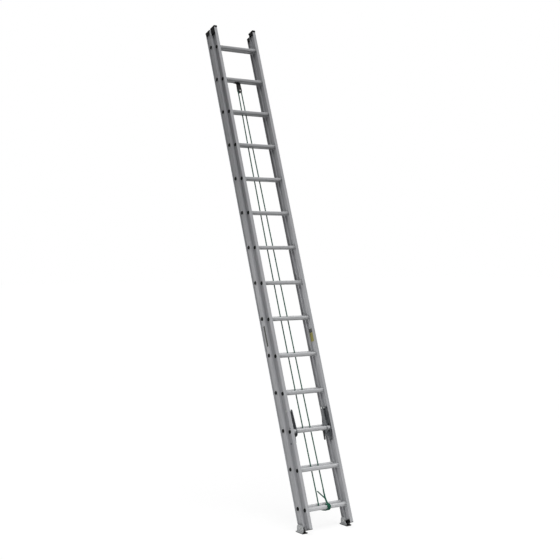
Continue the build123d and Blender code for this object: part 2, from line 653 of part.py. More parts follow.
def torsion_spring(name, centre, pin, thickness, pitch, turns):
    """Coil round a pin along X, centred on a point, with a straight leg at each end."""
    start = Vector(centre.X - turns * pitch / 2, centre.Y, centre.Z)
    stops = wind(start, pin + PLASTIC_FIT + thickness / 2, pitch, turns, math.pi / 2)
    with BuildLine() as line:
        Line(stops[0][0] - stops[0][1] * thickness, stops[0][0])
        follow(stops)
        Line(stops[-1][0], stops[-1][0] + stops[-1][1] * thickness)
    wire = line.wires()[0]
    report_gap(name, wire, thickness)
    return tube(wire, thickness)


# Torsion springs: one round each lock pivot bolt, one round each finger's pin
pawl_spring = torsion_spring(
    "pawl spring", Vector(PAWL_MIDDLE, PIVOT_Y, PIVOT_Z), LOCK_BOLT, SPRING_WIRE, SPRING_PITCH, SPRING_TURNS
)
write_pair(pawl_spring, "{}_lock_spring")
finger_spring = torsion_spring(
    "finger spring",
    Vector(PIN_HEAD + FINGER_SPRING_ROOM / 2, FINGER_Y, FINGER_Z),
    FINGER_PIN,
    FINGER_SPRING_WIRE,
    FINGER_SPRING_PITCH,
    FINGER_SPRING_TURNS,
)
with BuildPart() as finger_springs:
    add(finger_spring)
    mirror(about=Plane.YZ)
write(finger_springs.part, "lock_finger_springs")

# Pulley: a strapped bracket on a base rung, the grooved sheave and its axle
PULLEY_Y = FLY_Y + PULLEY_BEHIND_FLY
PULLEY_RUNG_Z = BASE_FIRST_RUNG + PULLEY_STEP_COUNT * RUNG_PITCH
PULLEY_Z = PULLEY_RUNG_Z - PULLEY_DROP
CHEEK_IN = SHEAVE_WIDTH / 2 + SIDE_GAP
CHEEK_OUT = CHEEK_IN + CHEEK
STRAP_X = (PULLEY_X - STRAP_WIDTH / 2, PULLEY_X + STRAP_WIDTH / 2)
BRIDGE_Z = PULLEY_RUNG_Z - BRIDGE_DROP
with BuildPart() as pulley_bracket:
    for cheek_y in (PULLEY_Y - CHEEK_IN, PULLEY_Y + CHEEK_OUT):
        with BuildSketch(Plane.XZ.offset(-cheek_y)):
            with Locations((PULLEY_X, PULLEY_Z)):
                Circle(CHEEK_HALF_WIDTH)
            strip(STRAP_X, (BRIDGE_Z - BRIDGE_THICK, BRIDGE_Z))
            make_hull()
        extrude(amount=CHEEK)
    slab(STRAP_X, (PULLEY_Y - CHEEK_OUT, PULLEY_Y + CHEEK_OUT), (BRIDGE_Z - BRIDGE_THICK, BRIDGE_Z))
    slab(STRAP_X, (PULLEY_Y + CHEEK_IN, -NECK_FRONT), (BRIDGE_Z - BRIDGE_THICK, PULLEY_RUNG_Z - NECK_FRONT))
    for grow, mode in ((STRAP_GAP + STRAP, Mode.ADD), (STRAP_GAP, Mode.SUBTRACT)):
        with BuildSketch(tread_plane(STRAP_X[0], 0, PULLEY_RUNG_Z)):
            rung_face(grow)
        extrude(amount=STRAP_WIDTH, mode=mode)
    with Locations(Location((PULLEY_X, PULLEY_Y, PULLEY_Z), (90, 0, 0))):
        Cylinder(AXLE + PIN_FIT, 2 * CHEEK_OUT, mode=Mode.SUBTRACT)
write(pulley_bracket.part, "pulley_bracket")

SHEAVE_GROOVE = ROPE_DIAMETER / 2 + ROPE_GROOVE_GAP
with BuildPart() as sheave:
    with BuildSketch(Plane((PULLEY_X, PULLEY_Y, PULLEY_Z))):
        strip((AXLE + PIN_FIT, SHEAVE_RIM), (-SHEAVE_WIDTH / 2, SHEAVE_WIDTH / 2))
        with Locations((SHEAVE_PITCH_RADIUS, 0)):
            Circle(SHEAVE_GROOVE, mode=Mode.SUBTRACT)
        strip((SHEAVE_PITCH_RADIUS, SHEAVE_RIM), (-SHEAVE_GROOVE, SHEAVE_GROOVE), mode=Mode.SUBTRACT)
    revolve(axis=Axis((PULLEY_X, PULLEY_Y, PULLEY_Z), (0, 1, 0)))
write(sheave.part, "pulley_sheave")

with BuildPart() as axle:
    with Locations(Location((PULLEY_X, PULLEY_Y, PULLEY_Z), (90, 0, 0))):
        Cylinder(AXLE, 2 * (CHEEK_OUT + AXLE_HEAD_HEIGHT))
        with Locations((0, 0, CHEEK_OUT + AXLE_HEAD_HEIGHT / 2), (0, 0, -CHEEK_OUT - AXLE_HEAD_HEIGHT / 2)):
            Cylinder(AXLE_HEAD, AXLE_HEAD_HEIGHT)
write(axle.part, "pulley_axle")

# Haul rope: two taut runs, straight from above the fly's bottom rung to the sheave, and half round it
KNOT_TOP = FLY_FIRST_RUNG + KNOT_LEAD
rope_plane = Plane((0, PULLEY_Y, 0), x_dir=(1, 0, 0), z_dir=(0, -1, 0))


def touch(x, z, side):
    """Where a straight run from a point below touches the rope's circle on the sheave."""
    away = math.hypot(x - PULLEY_X, z - PULLEY_Z)
    bearing = math.atan2(z - PULLEY_Z, x - PULLEY_X)
    angle = bearing + side * math.acos(SHEAVE_PITCH_RADIUS / away)
    out = SHEAVE_PITCH_RADIUS * math.cos(angle)
    up = SHEAVE_PITCH_RADIUS * math.sin(angle)
    return (PULLEY_X + out, PULLEY_Z + up)


with BuildLine(rope_plane) as rope_line:
    right_touch = touch(KNOT_X, KNOT_TOP, 1)
    left_touch = touch(LEFT_RUN_X, KNOT_TOP, -1)
    Line((KNOT_X, KNOT_TOP), right_touch)
    ThreePointArc(right_touch, (PULLEY_X, PULLEY_Z + SHEAVE_PITCH_RADIUS), left_touch)
    Line(left_touch, (LEFT_RUN_X, KNOT_TOP))
rope_wire = rope_line.wires()[0]
write(tube(rope_wire, ROPE_DIAMETER), "haul_rope")

# Knot: the rope wound over the fly's bottom rung, from the right run's end to the left run's behind the rung
KNOT_RADIUS = math.hypot(RUNG_RADIUS - TREAD_CORNER, TREAD_HEIGHT - TREAD_CORNER) + TREAD_CORNER
KNOT_RADIUS += KNOT_REST + ROPE_DIAMETER / 2
right_end = Vector(KNOT_X, PULLEY_Y, KNOT_TOP)
left_end = Vector(LEFT_RUN_X, PULLEY_Y, KNOT_TOP)
right_way = (right_end - Vector(right_touch[0], PULLEY_Y, right_touch[1])).normalized()
left_way = (Vector(left_touch[0], PULLEY_Y, left_touch[1]) - left_end).normalized()
lead_end = right_end + right_way * ROPE_DIAMETER
rise_start = left_end - left_way * KNOT_RISE
rung_centre = Vector(KNOT_X + KNOT_SHIFT, FLY_Y, FLY_FIRST_RUNG)
knot_stops = [(lead_end, right_way)]
knot_stops.extend(wind(rung_centre, KNOT_RADIUS, -KNOT_PITCH, KNOT_TURNS, math.pi / 2))
knot_stops.append((rise_start, left_way))
with BuildLine() as knot_line:
    Line(right_end, lead_end)
    follow(knot_stops)
    Line(rise_start, left_end)
knot_wire = knot_line.wires()[0]
report_gap("rope knot", knot_wire, ROPE_DIAMETER)
write(tube(knot_wire, ROPE_DIAMETER), "rope_knot")
print(f"rope length with its knot: {rope_wire.length + knot_wire.length:.0f} mm")
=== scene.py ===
import json
import math

import bmesh
import bpy
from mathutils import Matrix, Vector


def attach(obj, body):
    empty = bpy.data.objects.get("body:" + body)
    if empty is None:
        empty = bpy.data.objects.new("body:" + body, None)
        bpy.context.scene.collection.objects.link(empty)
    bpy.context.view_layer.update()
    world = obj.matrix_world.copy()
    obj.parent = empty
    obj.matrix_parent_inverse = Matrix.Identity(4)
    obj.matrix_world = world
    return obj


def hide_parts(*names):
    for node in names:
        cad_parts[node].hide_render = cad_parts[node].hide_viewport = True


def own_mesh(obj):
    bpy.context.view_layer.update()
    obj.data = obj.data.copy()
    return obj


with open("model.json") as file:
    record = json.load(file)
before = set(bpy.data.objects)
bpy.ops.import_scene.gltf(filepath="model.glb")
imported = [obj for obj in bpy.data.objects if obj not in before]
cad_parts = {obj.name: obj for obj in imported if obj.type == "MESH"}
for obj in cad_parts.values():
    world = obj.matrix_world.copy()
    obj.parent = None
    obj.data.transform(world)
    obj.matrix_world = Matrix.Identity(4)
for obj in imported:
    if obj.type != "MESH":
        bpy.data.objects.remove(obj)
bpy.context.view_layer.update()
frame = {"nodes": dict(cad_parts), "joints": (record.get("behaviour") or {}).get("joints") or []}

# Rails: four I-shaped extrusions of mill-finish aluminium. The pressing die leaves long faint streaks
# and fine lines down each rail, and handling dulls the flats in soft patches.
# The oxide skin scatters light more than it mirrors, so only a small share of the shader is metal.
LEAN = math.radians(19.3)
STREAK = (0.004, 0.004, 0.5)
DULL_PATCH = (0.09, 0.09, 0.25)
DIE_LINE = (0.0012, 0.0012, 0.3)
METAL_SHARE = 0.1


def linear(code):
    """Linear colour of an sRGB hex value."""
    parts = [int(code[place : place + 2], 16) / 255 for place in (1, 3, 5)]
    parts = [part / 12.92 if part <= 0.04045 else ((part + 0.055) / 1.055) ** 2.4 for part in parts]
    return [*parts, 1.0]


def feed(tree, node, inputs):
    """Gives a node its inputs; each is a value or the socket that feeds it."""
    for socket, value in inputs.items():
        if isinstance(value, bpy.types.NodeSocket):
            tree.links.new(value, node.inputs[socket])
        else:
            node.inputs[socket].default_value = value


def add_node(tree, kind, inputs, **settings):
    """Adds a node with its settings and inputs."""
    node = tree.nodes.new(kind)
    for name, value in settings.items():
        setattr(node, name, value)
    feed(tree, node, inputs)
    return node


def new_material(name):
    """A material, its node tree, its shader and the place on the piece that patterns read."""
    material = bpy.data.materials.new(name)
    material.use_nodes = True
    tree = material.node_tree
    place = add_node(tree, "ShaderNodeTexCoord", {}).outputs["Object"]
    return material, tree, tree.nodes["Principled BSDF"], place


def dress(material, *names):
    """Gives solids of the frame their material."""
    for name in names:
        mesh = frame["nodes"][name].data
        mesh.materials.clear()
        mesh.materials.append(material)


rail_metal, tree, shader, place = new_material("mill_finish_aluminium_rail")
marks = {}
for mark, size, detail, roughness in (
    ("streaks", STREAK, 3.0, 0.6),
    ("patches", DULL_PATCH, 4.0, 0.55),
    ("lines", DIE_LINE, 2.0, 0.5),
):
    down_rail = add_node(
        tree,
        "ShaderNodeMapping",
        {"Vector": place, "Rotation": (-LEAN, 0, 0), "Scale": size},
        vector_type="TEXTURE",
    )
    noise = add_node(
        tree,
        "ShaderNodeTexNoise",
        {"Vector": down_rail.outputs[0], "Scale": 1.0, "Detail": detail, "Roughness": roughness},
    )
    marks[mark] = noise.outputs["Fac"]
streak_share = add_node(
    tree, "ShaderNodeMapRange", {"Value": marks["streaks"], "From Min": 0.3, "From Max": 0.7}
)
streaked = add_node(
    tree,
    "ShaderNodeMix",
    {"Factor": streak_share.outputs[0], "A": linear("#8F9093"), "B": linear("#A9AAAC")},
    data_type="RGBA",
)
patch_share = add_node(
    tree,
    "ShaderNodeMapRange",
    {"Value": marks["patches"], "From Min": 0.35, "From Max": 0.75, "To Min": 0.0, "To Max": 0.45},
)
dulled = add_node(
    tree,
    "ShaderNodeMix",
    {"Factor": patch_share.outputs[0], "A": streaked.outputs["Result"], "B": linear("#86878A")},
    data_type="RGBA",
)
gloss = add_node(tree, "ShaderNodeMapRange", {"Value": marks["patches"], "To Min": 0.36, "To Max": 0.56})
relief = add_node(
    tree, "ShaderNodeBump", {"Height": marks["lines"], "Strength": 0.12, "Distance": 0.0003}
)
rail_finish = {
    "Base Color": dulled.outputs["Result"],
    "Roughness": gloss.outputs[0],
    "Normal": relief.outputs[0],
    "Metallic": METAL_SHARE,
}
feed(tree, shader, rail_finish)
dress(rail_metal, "base_left_rail", "base_right_rail", "fly_left_rail", "fly_right_rail")

# Rungs: twenty-eight D-shaped aluminium tubes with a fluted tread, swaged into the rails' webs.
# They are the same metal as the rails, painted lighter to stand for the light that falls on their treads,
# and streaked along their length.
RUNG_COUNT = 14
RUNG_STREAK = (0.3, 0.003, 0.003)
RUB_MARK = (0.05, 0.012, 0.012)
rung_metal_painted_lighter, tree, shader, place = new_material("mill_finish_aluminium_rung")
marks = {}
for mark, size, detail in (("streaks", RUNG_STREAK, 3.0), ("rubs", RUB_MARK, 4.0)):
    along_rung = add_node(
        tree, "ShaderNodeMapping", {"Vector": place, "Scale": size}, vector_type="TEXTURE"
    )
    noise = add_node(
        tree,
        "ShaderNodeTexNoise",
        {"Vector": along_rung.outputs[0], "Scale": 1.0, "Detail": detail, "Roughness": 0.6},
    )
    marks[mark] = noise.outputs["Fac"]
streak_share = add_node(
    tree, "ShaderNodeMapRange", {"Value": marks["streaks"], "From Min": 0.3, "From Max": 0.7}
)
# Both tones are painted lighter than the rails' tones: a painted highlight for the light on the rungs'
# treads.
streaked = add_node(
    tree,
    "ShaderNodeMix",
    {"Factor": streak_share.outputs[0], "A": linear("#A9AAAC"), "B": linear("#C1C2C4")},
    data_type="RGBA",
)
gloss = add_node(tree, "ShaderNodeMapRange", {"Value": marks["rubs"], "To Min": 0.3, "To Max": 0.52})
relief = add_node(
    tree, "ShaderNodeBump", {"Height": marks["streaks"], "Strength": 0.1, "Distance": 0.0003}
)
rung_finish = {
    "Base Color": streaked.outputs["Result"],
    "Roughness": gloss.outputs[0],
    "Normal": relief.outputs[0],
    "Metallic": METAL_SHARE,
}
feed(tree, shader, rung_finish)
for number in range(1, RUNG_COUNT + 1):
    dress(rung_metal_painted_lighter, f"base_rung_{number:02d}", f"fly_rung_{number:02d}")

# Caps and end plugs: black polypropylene mouldings pushed over the rails' cut ends.
# A spark-eroded mould gives them an even grain, drawn coarser than it is so that it shows, and a low sheen.
MOULD_GRAIN = 0.0008
SCUFF = 0.02
black_plastic, tree, shader, place = new_material("black_polypropylene_moulded")
grain = add_node(
    tree, "ShaderNodeTexNoise", {"Vector": place, "Scale": 1 / MOULD_GRAIN, "Detail": 2.0, "Roughness": 0.6}
)
scuff = add_node(
    tree, "ShaderNodeTexNoise", {"Vector": place, "Scale": 1 / SCUFF, "Detail": 5.0, "Roughness": 0.65}
)
scuff_share = add_node(
    tree, "ShaderNodeMapRange", {"Value": scuff.outputs["Fac"], "From Min": 0.45, "From Max": 0.8}
)
scuffed = add_node(
    tree,
    "ShaderNodeMix",
    {"Factor": scuff_share.outputs[0], "A": linear("#0C0D0D"), "B": linear("#1C1D1E")},
    data_type="RGBA",
)
gloss = add_node(
    tree, "ShaderNodeMapRange", {"Value": scuff.outputs["Fac"], "To Min": 0.4, "To Max": 0.62}
)
relief = add_node(
    tree, "ShaderNodeBump", {"Height": grain.outputs["Fac"], "Strength": 0.2, "Distance": 0.0002}
)
plastic_finish = {
    "Base Color": scuffed.outputs["Result"],
    "Roughness": gloss.outputs[0],
    "Normal": relief.outputs[0],
    "Specular IOR Level": 0.05,
}
feed(tree, shader, plastic_finish)
for side in ("left", "right"):
    dress(black_plastic, f"base_{side}_top_cap", f"fly_{side}_top_cap", f"fly_{side}_end_plug")

# Rung end buttons: black polypropylene discs pressed into both open ends of every rung, outside the webs.
# They are moulded like the caps and share their grained plastic. Places on the upright ladder are given
# in millimetres, sizes of the buttons in metres.
BUTTON_RADIUS = 0.0162
BUTTON_HEIGHT = 0.0014
BUTTON_SIDES = 24
BASE_BUTTONS = 216.7
FLY_BUTTONS = 199.7
RUNG_PITCH = 0.3048
BASE_PLANE = 0.0
FLY_PLANE = -64.7
BASE_FIRST_RUNG = 145.0
FLY_FIRST_RUNG = 122.342
LADDER_FOOT = Vector((0, 0, 0.038))
joints = {joint["name"]: joint for joint in frame["joints"]}
fly_slide = joints["fly_slide"]
up_ladder = Vector(fly_slide["axis"])
through_ladder = Vector((0, up_ladder.z, -up_ladder.y))


def on_ladder(x, y, z):
    """Point in metres of a place on the upright ladder: across, towards the wall, up the rails."""
    return LADDER_FOOT + Vector((x, 0, 0)) / 1000 + through_ladder * y / 1000 + up_ladder * z / 1000


def add_object(name, data):
    """A new object in the scene."""
    piece = bpy.data.objects.new(name, data)
    bpy.context.scene.collection.objects.link(piece)
    return piece


def new_geometry_tree(name, inputs):
    """A Geometry Nodes tree with named inputs, and the sockets that give them inside it."""
    tree = bpy.data.node_groups.new(name, "GeometryNodeTree")
    tree.interface.new_socket("Geometry", in_out="INPUT", socket_type="NodeSocketGeometry")
    for label, kind in inputs.items():
        tree.interface.new_socket(label, in_out="INPUT", socket_type=f"NodeSocket{kind}")
    tree.interface.new_socket("Geometry", in_out="OUTPUT", socket_type="NodeSocketGeometry")
    return tree, add_node(tree, "NodeGroupInput", {}).outputs


def run_tree(tree, name, carrier, sizes):
    """Plain mesh of what a Geometry Nodes tree makes of a carrier object with these sizes."""
    modifier = carrier.modifiers.new(tree.name, "NODES")
    modifier.node_group = tree
    for socket in tree.interface.items_tree:
        if socket.name in sizes:
            modifier[socket.identifier] = sizes[socket.name]
    shape = carrier.evaluated_get(bpy.context.evaluated_depsgraph_get())
    piece = add_object(name, bpy.data.meshes.new_from_object(shape))
    carrier.modifiers.remove(modifier)
    return piece


button_sizes = {
    "Button radius": "Float",
    "Button height": "Float",
    "Section width": "Float",
    "Rung count": "Int",
    "First end": "Vector",
    "Rung step": "Vector",
    "Material": "Material",
}
end_buttons, given = new_geometry_tree("rung_end_buttons", button_sizes)
left_ends = add_node(
    end_buttons,
    "GeometryNodeMeshLine",
    {"Count": given["Rung count"], "Start Location": given["First end"], "Offset": given["Rung step"]},
)
across = add_node(end_buttons, "ShaderNodeCombineXYZ", {"X": given["Section width"]})
right_ends = add_node(
    end_buttons,
    "GeometryNodeTransform",
    {"Geometry": left_ends.outputs[0], "Translation": across.outputs[0]},
)
both_ends = add_node(end_buttons, "GeometryNodeJoinGeometry", {"Geometry": left_ends.outputs[0]})
end_buttons.links.new(right_ends.outputs[0], both_ends.inputs[0])
disc = add_node(
    end_buttons,
    "GeometryNodeMeshCylinder",
    {"Vertices": BUTTON_SIDES, "Radius": given["Button radius"], "Depth": given["Button height"]},
)
facing_out = add_node(
    end_buttons, "GeometryNodeTransform", {"Geometry": disc.outputs[0], "Rotation": (0, math.pi / 2, 0)}
)
pressed_in = add_node(
    end_buttons,
    "GeometryNodeInstanceOnPoints",
    {"Points": both_ends.outputs[0], "Instance": facing_out.outputs[0]},
)
realized = add_node(end_buttons, "GeometryNodeRealizeInstances", {"Geometry": pressed_in.outputs[0]})
finished = add_node(
    end_buttons, "GeometryNodeSetMaterial", {"Geometry": realized.outputs[0], "Material": given["Material"]}
)
add_node(end_buttons, "NodeGroupOutput", {"Geometry": finished.outputs[0]})
sections = (
    ("base", BASE_BUTTONS, BASE_PLANE, BASE_FIRST_RUNG),
    ("fly", FLY_BUTTONS, FLY_PLANE, FLY_FIRST_RUNG),
)
for section, reach, plane, first in sections:
    blank = add_object("blank", bpy.data.meshes.new("blank"))
    sizes = {
        "Button radius": BUTTON_RADIUS,
        "Button height": BUTTON_HEIGHT,
        "Section width": 2 * reach / 1000,
        "Rung count": RUNG_COUNT,
        "First end": on_ladder(-reach, plane, first),
        "Rung step": up_ladder * RUNG_PITCH,
        "Material": black_plastic,
    }
    row = run_tree(end_buttons, f"{section}_rung_end_buttons", blank, sizes)
    bpy.data.objects.remove(blank)
    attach(row, section)

# Cap skirts: the fly caps' front edges, turned down a little over the front flanges.
# They belong to the same mouldings as the caps.
SKIRT_ACROSS = (180.5, 210.5)
SKIRT_DEPTH = (-99.4, -98.2)
SKIRT_HEIGHT = (4256.0, 4265.0)


def add_boxes(name, material, boxes, point_at):
    """A piece of plain boxes, each given by its two ends across, in depth and in height."""
    shape = bmesh.new()
    for across, depth, height in boxes:
        for corner in bmesh.ops.create_cube(shape, size=1.0)["verts"]:
            x, y, z = corner.co
            corner.co = point_at(across[x > 0], depth[y > 0], height[z > 0])
    bmesh.ops.recalc_face_normals(shape, faces=shape.faces)
    mesh = bpy.data.meshes.new(name)
    shape.to_mesh(mesh)
    shape.free()
    mesh.materials.append(material)
    return add_object(name, mesh)


for side, mirrored in (("left", -1), ("right", 1)):
    across = [mirrored * reach for reach in SKIRT_ACROSS]
    front_edge = (across, SKIRT_DEPTH, SKIRT_HEIGHT)
    skirt = add_boxes(f"{side}_cap_skirt", black_plastic, [front_edge], on_ladder)
    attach(skirt, "fly")

# Shoes: pressed steel plates with rounded ears, zinc plated, pivoting on a bolt through the base rails.
# The plating shows soft grey flakes a few millimetres across.
ZINC_FLAKE = 0.006
ZINC_CLOUD = 0.015
plated_steel, tree, shader, place = new_material("zinc_plated_steel_pressing")
flakes = add_node(tree, "ShaderNodeTexVoronoi", {"Vector": place, "Scale": 1 / ZINC_FLAKE})
flake_tone = add_node(tree, "ShaderNodeSeparateColor", {"Color": flakes.outputs["Color"]})
cloud = add_node(
    tree, "ShaderNodeTexNoise", {"Vector": place, "Scale": 1 / ZINC_CLOUD, "Detail": 4.0, "Roughness": 0.6}
)
flaked = add_node(
    tree,
    "ShaderNodeMix",
    {"Factor": flake_tone.outputs["Red"], "A": linear("#9C9E9F"), "B": linear("#B4B6B6")},
    data_type="RGBA",
)
clouded = add_node(
    tree,
    "ShaderNodeMix",
    {"Factor": cloud.outputs["Fac"], "A": linear("#8A8C8E"), "B": flaked.outputs["Result"]},
    data_type="RGBA",
)
gloss = add_node(
    tree, "ShaderNodeMapRange", {"Value": cloud.outputs["Fac"], "To Min": 0.35, "To Max": 0.55}
)
plating_finish = {
    "Base Color": clouded.outputs["Result"],
    "Roughness": gloss.outputs[0],
    "Metallic": METAL_SHARE,
}
feed(tree, shader, plating_finish)
dress(plated_steel, "left_shoe", "right_shoe")

# Shoe pads: black rubber soles bonded under the shoes, grooved across for grip.
# Moulded rubber is matt, with grey floor dust in its grain, which is drawn coarser than it is.
RUBBER_GRAIN = 0.0012
DUST = 0.012
sole_rubber, tree, shader, place = new_material("black_rubber_moulded")
grain = add_node(
    tree,
    "ShaderNodeTexNoise",
    {"Vector": place, "Scale": 1 / RUBBER_GRAIN, "Detail": 3.0, "Roughness": 0.7},
)
dust = add_node(
    tree, "ShaderNodeTexNoise", {"Vector": place, "Scale": 1 / DUST, "Detail": 5.0, "Roughness": 0.7}
)
dust_share = add_node(
    tree, "ShaderNodeMapRange", {"Value": dust.outputs["Fac"], "From Min": 0.5, "From Max": 0.85}
)
dusty = add_node(
    tree,
    "ShaderNodeMix",
    {"Factor": dust_share.outputs[0], "A": linear("#0B0B0B"), "B": linear("#1E1D1B")},
    data_type="RGBA",
)
relief = add_node(
    tree, "ShaderNodeBump", {"Height": grain.outputs["Fac"], "Strength": 0.35, "Distance": 0.0003}
)
rubber_finish = {
    "Base Color": dusty.outputs["Result"],
    "Roughness": 0.82,
    "Normal": relief.outputs[0],
    "Specular IOR Level": 0.15,
}
feed(tree, shader, rubber_finish)
dress(sole_rubber, "left_shoe_pad", "right_shoe_pad")

# Shoe inserts: a thin black sheet between the ears is painted shade, standing for the shadow inside each
# shoe, and a strip of the pads' rubber comes up over the soles' front edges. Both use the pads' rubber. The
# shoes stand level, and these places are in metres from the floor.
EARS = (0.1998, 0.2232)
EARS_DEPTH = (-0.0398, 0.040)
EARS_HEIGHT = (0.0092, 0.0104)
SOLE = (0.1885, 0.2345)
SOLE_EDGE_DEPTH = (-0.0424, -0.0402)
SOLE_EDGE_HEIGHT = (0.0004, 0.0098)
for side, mirrored in (("left", -1), ("right", 1)):
    # The sheet between the ears is painted shade: a dark sheet where the inside of the shoe lies in shadow.
    shade_sheet_between_ears = ([mirrored * reach for reach in EARS], EARS_DEPTH, EARS_HEIGHT)
    front_edge = ([mirrored * reach for reach in SOLE], SOLE_EDGE_DEPTH, SOLE_EDGE_HEIGHT)
    rubber_and_shade_insert = add_boxes(
        f"{side}_shoe_rubber_and_shade_insert", sole_rubber, [shade_sheet_between_ears, front_edge], lambda *corner: Vector(corner)
    )
    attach(rubber_and_shade_insert, f"{side}_shoe_body")

# Bolts, rivets, pins, the pulley's axle and the lock springs: turned and drawn steel, bright zinc plated.
# Small parts tumble in the bath, so the plating is smooth with faint clouding and a few dull specks.
BRIGHT_CLOUD = 0.004
DULL_SPECK = 0.0012
bright_zinc, tree, shader, place = new_material("bright_zinc_plated_steel")
cloud = add_node(
    tree,
    "ShaderNodeTexNoise",
    {"Vector": place, "Scale": 1 / BRIGHT_CLOUD, "Detail": 3.0, "Roughness": 0.6},
)
specks = add_node(
    tree, "ShaderNodeTexNoise", {"Vector": place, "Scale": 1 / DULL_SPECK, "Detail": 2.0, "Roughness": 0.5}
)
speck_share = add_node(
    tree, "ShaderNodeMapRange", {"Value": specks.outputs["Fac"], "From Min": 0.6, "From Max": 0.8}
)
specked = add_node(
    tree,
    "ShaderNodeMix",
    {"Factor": speck_share.outputs[0], "A": linear("#B2B3B0"), "B": linear("#7F7F7B")},
    data_type="RGBA",
)
gloss = add_node(
    tree, "ShaderNodeMapRange", {"Value": cloud.outputs["Fac"], "To Min": 0.22, "To Max": 0.42}
)
bright_finish = {
    "Base Color": specked.outputs["Result"],
    "Roughness": gloss.outputs[0],
    "Metallic": 1.0,
}
feed(tree, shader, bright_finish)
dress(bright_zinc, "shoe_bolts", "lock_pivot_bolts", "lock_finger_pins", "lock_finger_springs")
dress(bright_zinc, "left_lock_spring", "right_lock_spring", "pulley_axle")

# Rung locks: pressed brackets saddled on a fly rung and cast pawls hung between their cheeks. Both are
# powder coated dark grey; the coat has a slight orange peel and rubs lighter where rungs slide past.
ORANGE_PEEL = 0.002
RUBBED_SPOT = 0.014
grey_coat, tree, shader, place = new_material("dark_grey_powder_coat")
peel = add_node(tree, "ShaderNodeTexNoise", {"Vector": place, "Scale": 1 / ORANGE_PEEL, "Detail": 1.0})
rub = add_node(
    tree,
    "ShaderNodeTexNoise",
    {"Vector": place, "Scale": 1 / RUBBED_SPOT, "Detail": 5.0, "Roughness": 0.65},
)
rub_share = add_node(
    tree, "ShaderNodeMapRange", {"Value": rub.outputs["Fac"], "From Min": 0.5, "From Max": 0.8}
)
rubbed = add_node(
    tree,
    "ShaderNodeMix",
    {"Factor": rub_share.outputs[0], "A": linear("#54575A"), "B": linear("#77797C")},
    data_type="RGBA",
)
gloss = add_node(tree, "ShaderNodeMapRange", {"Value": rub.outputs["Fac"], "To Min": 0.36, "To Max": 0.52})
relief = add_node(
    tree, "ShaderNodeBump", {"Height": peel.outputs["Fac"], "Strength": 0.15, "Distance": 0.0003}
)
coat_finish = {
    "Base Color": rubbed.outputs["Result"],
    "Roughness": gloss.outputs[0],
    "Normal": relief.outputs[0],
}
feed(tree, shader, coat_finish)
for side in ("left", "right"):
    dress(grey_coat, f"{side}_lock_bracket", f"{side}_lock_pawl")

# Lock fingers: flat black nylon tongues on the brackets' pins.
# Glass-filled nylon has a faint flow pattern and a soft sheen.
FLOW = (0.004, 0.004, 0.02)
black_nylon, tree, shader, place = new_material("black_glass_filled_nylon")
down_finger = add_node(
    tree,
    "ShaderNodeMapping",
    {"Vector": place, "Rotation": (-LEAN, 0, 0), "Scale": FLOW},
    vector_type="TEXTURE",
)
flow = add_node(
    tree, "ShaderNodeTexNoise", {"Vector": down_finger.outputs[0], "Scale": 1.0, "Detail": 4.0}
)
flowed = add_node(
    tree,
    "ShaderNodeMix",
    {"Factor": flow.outputs["Fac"], "A": linear("#0B0C0D"), "B": linear("#1B1C1E")},
    data_type="RGBA",
)
gloss = add_node(tree, "ShaderNodeMapRange", {"Value": flow.outputs["Fac"], "To Min": 0.34, "To Max": 0.5})
nylon_finish = {
    "Base Color": flowed.outputs["Result"],
    "Roughness": gloss.outputs[0],
    "Specular IOR Level": 0.2,
}
feed(tree, shader, nylon_finish)
dress(black_nylon, "left_lock_finger", "right_lock_finger")

# Pulley bracket and lock rivets: a bent steel strap round a base rung and domed studs, dipped in black
# enamel. The enamel is glossy, with a slow ripple and worn grey spots on its edges.
ENAMEL_RIPPLE = 0.008
WORN_SPOT = 0.006
black_enamel, tree, shader, place = new_material("black_enamel_on_steel")
ripple = add_node(tree, "ShaderNodeTexNoise", {"Vector": place, "Scale": 1 / ENAMEL_RIPPLE, "Detail": 1.0})
worn = add_node(
    tree, "ShaderNodeTexNoise", {"Vector": place, "Scale": 1 / WORN_SPOT, "Detail": 5.0, "Roughness": 0.7}
)
worn_share = add_node(
    tree, "ShaderNodeMapRange", {"Value": worn.outputs["Fac"], "From Min": 0.62, "From Max": 0.72}
)
enamelled = add_node(
    tree,
    "ShaderNodeMix",
    {"Factor": worn_share.outputs[0], "A": linear("#0C0D0E"), "B": linear("#4A4B4C")},
    data_type="RGBA",
)
relief = add_node(
    tree, "ShaderNodeBump", {"Height": ripple.outputs["Fac"], "Strength": 0.15, "Distance": 0.0006}
)
enamel_finish = {
    "Base Color": enamelled.outputs["Result"],
    "Roughness": 0.3,
    "Normal": relief.outputs[0],
    "Specular IOR Level": 0.3,
}
feed(tree, shader, enamel_finish)
dress(black_enamel, "pulley_bracket", "lock_rivets")

# Pulley sheave: turned grey nylon wheel with a round groove for the rope.
# The lathe leaves fine rings about its axle, drawn here about three times as coarse so that they show.
LATHE_RING = 0.0012
WAVE_LENGTH = 0.314  # of a ring wave at a scale of one
pulley_centre = Vector(joints["sheave_spin"]["pos_m"])
grey_nylon, tree, shader, place = new_material("grey_turned_nylon")
about_axle = add_node(
    tree,
    "ShaderNodeMapping",
    {"Vector": place, "Location": pulley_centre, "Rotation": (-LEAN, 0, 0)},
    vector_type="TEXTURE",
)
rings = add_node(
    tree,
    "ShaderNodeTexWave",
    {"Vector": about_axle.outputs[0], "Scale": WAVE_LENGTH / LATHE_RING, "Distortion": 0.6, "Detail": 1.0},
    wave_type="RINGS",
    rings_direction="Y",
)
ringed = add_node(
    tree,
    "ShaderNodeMix",
    {"Factor": rings.outputs["Fac"], "A": linear("#4E5051"), "B": linear("#5C5E5F")},
    data_type="RGBA",
)
relief = add_node(
    tree, "ShaderNodeBump", {"Height": rings.outputs["Fac"], "Strength": 0.15, "Distance": 0.0002}
)
sheave_finish = {
    "Base Color": ringed.outputs["Result"],
    "Roughness": 0.48,
    "Normal": relief.outputs[0],
}
feed(tree, shader, sheave_finish)
dress(grey_nylon, "pulley_sheave")

